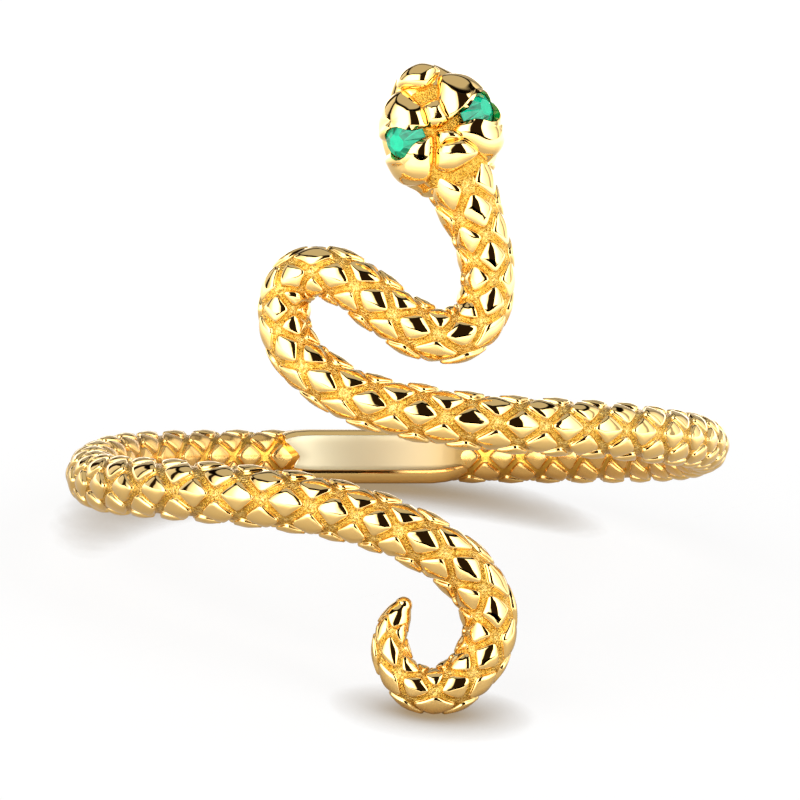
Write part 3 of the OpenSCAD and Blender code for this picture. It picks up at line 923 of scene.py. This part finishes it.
def smoothAndCut(mesh, levels, cutters):
    # one closed shell, subdivided, with the seats cut out of it
    bmesh.ops.recalc_face_normals(mesh, faces=mesh.faces)
    bmesh.ops.transform(mesh, matrix=headMatrix, verts=mesh.verts)
    blanks = []
    for part in [mesh] + [makeSeatCutter(side) for side in cutters]:
        data = bpy.data.meshes.new("blank")
        part.to_mesh(data)
        part.free()
        blanks.append(bpy.data.objects.new("blank", data))
        scene.collection.objects.link(blanks[-1])
    modifier = blanks[0].modifiers.new("smooth", "SUBSURF")
    modifier.levels = modifier.render_levels = levels
    for cutter in blanks[1:]:
        modifier = blanks[0].modifiers.new("seat", "BOOLEAN")
        modifier.operation, modifier.solver, modifier.object = "DIFFERENCE", "EXACT", cutter
    evaluated = blanks[0].evaluated_get(bpy.context.evaluated_depsgraph_get())
    result = bmesh.new()
    result.from_mesh(evaluated.to_mesh())
    evaluated.to_mesh_clear()
    for blank in blanks:
        # its object goes with it
        bpy.data.meshes.remove(blank.data)
    return result


def buildHeadPlates():
    joined = bmesh.new()
    for plate in headPlates["plates"].values():
        mesh = bmesh.new()
        makePlate(mesh, plate)
        cut = smoothAndCut(mesh, 2, (plate["eye"],) if plate["eye"] else ())
        data = bpy.data.meshes.new("plate")
        cut.to_mesh(data)
        cut.free()
        joined.from_mesh(data)
        bpy.data.meshes.remove(data)
    return joined


def buildHead():
    base = smoothAndCut(buildHeadBase(), 1, (-1, 1))
    toHead = headMatrix.inverted()
    for face in base.faces:
        onFlank = (toHead @ face.calc_center_median()).z < snakeHead["roughAbove"]
        face.material_index = int(onFlank)
    pieces = [
        finishPiece("head_base", base, [cast, polished], "gold_plate"),
        finishPiece("head_plates", buildHeadPlates(), [polished], "gold_plate"),
    ]
    for piece in pieces:
        piece.data.set_sharp_from_angle(angle=radians(snakeHead["sharpAngle"]))


buildHead()
print("head made")

for side in (-1, 1):
    buildStone(side)
print("stones cut")

# A plain pale floor and a white tent of light with dark gaps between its panels
studio = {
    "floorSize": 3,
    # over a span of distances from the ring in mm: how pale the paper is, a little darker near the ring as
    # painted shade; what share of that the gold sees, less near the ring as painted shade; and how brightly
    # the gold sees it glow, a painted light that no lamp gives
    "byDistance": {
        "paper": (15, 90, 0.93, 0.98),
        "paintedShadeForGold": (8, 40, 0.56, 1),
        "paintedGlowForGold": (20, 80, 0, 1.6),
    },
    "contactReach": 1.8,
    "glow": 1.08,
    "whitened": 0.82,
    "white": 3.7,
    "gapColour": (0.006, 0.0035, 0.002),
    # Brightness of the panels by their turn from the front, and its share by their height, in degrees. A 0
    # is a dark gap.
    "panels": [
        (-180, 0.13), (-156, 0.13), (-153, 0), (-138, 0), (-135, 0.27), (-104, 0.2), (-102, 0), (-88, 0),
        (-86, 0.25), (-68, 0.46), (-52, 0.95), (-40, 1), (-12, 1), (-4, 0.6), (-1, 0.3), (1, 0), (41, 0),
        (44, 1), (58, 0.95), (76, 0.56), (92, 0.36), (95, 0.14), (102, 0.14), (106, 0.46), (140, 0.2),
        (143, 0.07), (150, 0.07), (153, 0.13), (180, 0.13),
    ],
    "heights": [(-90, 0), (-13, 0), (-11, 1), (45, 1), (48, 0), (54, 0), (57, 1)],
    "ceiling": 0.16,
    "ceilingFrom": (46, 54),
}


def buildFloor():
    mesh = bmesh.new()
    bmesh.ops.create_grid(mesh, x_segments=1, y_segments=1, size=studio["floorSize"] / 2)
    data = bpy.data.meshes.new("floor")
    mesh.to_mesh(data)
    mesh.free()
    # Matt white paper, as in a picture whose paper was whitened afterwards: the gold sees the paper near it
    # darker and warmer than the camera does, a painted shade, and its far part with a painted glow that no
    # lamp gives
    material, tree = newMaterial("paper_matte")
    place = addNode(tree, "ShaderNodeTexCoord").outputs["Object"]
    reach = addNode(tree, "ShaderNodeVectorMath", {"operation": "LENGTH"}, {0: place})
    levels = {}
    for name, (near, far, first, last) in studio["byDistance"].items():
        level = addNode(
            tree,
            "ShaderNodeMapRange",
            {"From Min": near * mm, "From Max": far * mm, "To Min": first, "To Max": last},
            {"Value": reach.outputs["Value"]},
        )
        levels[name] = level.outputs["Result"]
    light = addNode(tree, "ShaderNodeLightPath")
    warmed = addNode(
        tree,
        "ShaderNodeMix",
        {"data_type": "RGBA", "blend_type": "MULTIPLY", 7: linearColour("#FFF6E6")},
        {"Factor": light.outputs["Is Glossy Ray"], 6: levels["paper"]},
    )
    # painted shade: the gold sees the paper near the ring darker and warmer than it is lit
    darker = addNode(
        tree,
        "ShaderNodeMix",
        {"data_type": "RGBA", "blend_type": "MULTIPLY"},
        {"Factor": light.outputs["Is Glossy Ray"], 6: warmed.outputs[2], 7: levels["paintedShadeForGold"]},
    )
    # a soft brown shade where the ring comes near the paper
    contact = addNode(
        tree,
        "ShaderNodeAmbientOcclusion",
        {"Distance": studio["contactReach"] * mm, "samples": 8},
        {"Color": darker.outputs[2]},
    )
    shaded = addNode(
        tree,
        "ShaderNodeMix",
        {"data_type": "RGBA", 6: linearColour("#B49C78")},
        {"Factor": contact.outputs["AO"], 7: contact.outputs["Color"]},
    )
    # painted light: the far paper glows for the gold's reflections alone, though no lamp lights it
    paintedGlowLevel = addNode(
        tree,
        "ShaderNodeMath",
        {"operation": "MULTIPLY"},
        {0: levels["paintedGlowForGold"], 1: light.outputs["Is Glossy Ray"]},
    )
    shader = addNode(
        tree,
        "ShaderNodeBsdfPrincipled",
        {"Roughness": 0.7, "Emission Color": linearColour("#FFFFFF")},
        {"Base Color": shaded.outputs[2], "Emission Strength": paintedGlowLevel.outputs[0]},
    )
    glow = addNode(
        tree, "ShaderNodeEmission", {"Strength": studio["glow"]}, {"Color": shaded.outputs[2]}
    )
    whitened = addNode(
        tree,
        "ShaderNodeMath",
        {"operation": "MULTIPLY", 1: studio["whitened"]},
        {0: light.outputs["Is Camera Ray"]},
    )
    mixed = addNode(
        tree,
        "ShaderNodeMixShader",
        {},
        {"Fac": whitened.outputs[0], 1: shader.outputs[0], 2: glow.outputs[0]},
    )
    addNode(tree, "ShaderNodeOutputMaterial", {}, {"Surface": mixed.outputs[0]})
    data.materials.append(material)
    floorObject = bpy.data.objects.new("floor", data)
    scene.collection.objects.link(floorObject)


def buildLight():
    world = bpy.data.worlds.new("tent")
    scene.world = world
    world.use_nodes = True
    tree = world.node_tree
    tree.nodes.clear()
    # the tent stands square to the ring's own axis, as the camera does
    direction = addNode(tree, "ShaderNodeTexCoord").outputs["Generated"]
    turned = addNode(
        tree,
        "ShaderNodeMapping",
        {"vector_type": "TEXTURE", "Rotation": (radians(-rest["lean"]), radians(rest["roll"]), 0)},
        {"Vector": direction},
    )
    parts = addNode(tree, "ShaderNodeSeparateXYZ", {}, {"Vector": turned.outputs["Vector"]})
    nearness = addNode(tree, "ShaderNodeMath", {"operation": "MULTIPLY", 1: -1}, {0: parts.outputs["Y"]})
    azimuth = addNode(
        tree, "ShaderNodeMath", {"operation": "ARCTAN2"}, {0: parts.outputs["X"], 1: nearness.outputs[0]}
    )
    elevation = addNode(tree, "ShaderNodeMath", {"operation": "ARCSINE"}, {0: parts.outputs["Z"]})
    bands = {}
    for name, angle, span in (("panels", azimuth, 360), ("heights", elevation, 180)):
        place = addNode(
            tree,
            "ShaderNodeMapRange",
            {"From Min": -radians(span / 2), "From Max": radians(span / 2)},
            {"Value": angle.outputs[0]},
        )
        ramp = addNode(tree, "ShaderNodeValToRGB", {}, {"Fac": place.outputs["Result"]})
        stops = ramp.color_ramp.elements
        for i, (degrees, level) in enumerate(studio[name]):
            spot = degrees / span + 0.5
            stop = stops[i] if i < 2 else stops.new(spot)
            stop.position = spot
            stop.color = (*((level, level, level) if level else studio["gapColour"]), 1)
        bands[name] = ramp.outputs["Color"]
    ceilingFoot, ceilingFull = studio["ceilingFrom"]
    overhead = addNode(
        tree,
        "ShaderNodeMapRange",
        {"From Min": radians(ceilingFoot), "From Max": radians(ceilingFull)},
        {"Value": elevation.outputs[0]},
    )
    tent = addNode(
        tree,
        "ShaderNodeMix",
        {"data_type": "RGBA", 7: (studio["ceiling"], studio["ceiling"], studio["ceiling"], 1)},
        {"Factor": overhead.outputs["Result"], 6: bands["panels"]},
    )
    shaded = addNode(
        tree,
        "ShaderNodeMix",
        {"data_type": "RGBA", "blend_type": "MULTIPLY", "Factor": 1},
        {6: tent.outputs[2], 7: bands["heights"]},
    )
    tentLight = addNode(
        tree, "ShaderNodeBackground", {"Strength": studio["white"]}, {"Color": shaded.outputs[2]}
    )
    # behind the ring the camera sees plain white
    backdrop = addNode(tree, "ShaderNodeBackground", {"Color": (1, 1, 1, 1), "Strength": 1})
    seen = addNode(tree, "ShaderNodeLightPath").outputs["Is Camera Ray"]
    mixed = addNode(
        tree, "ShaderNodeMixShader", {}, {"Fac": seen, 1: tentLight.outputs[0], 2: backdrop.outputs[0]}
    )
    addNode(tree, "ShaderNodeOutputWorld", {}, {"Surface": mixed.outputs[0]})


buildFloor()
buildLight()
print("studio set")
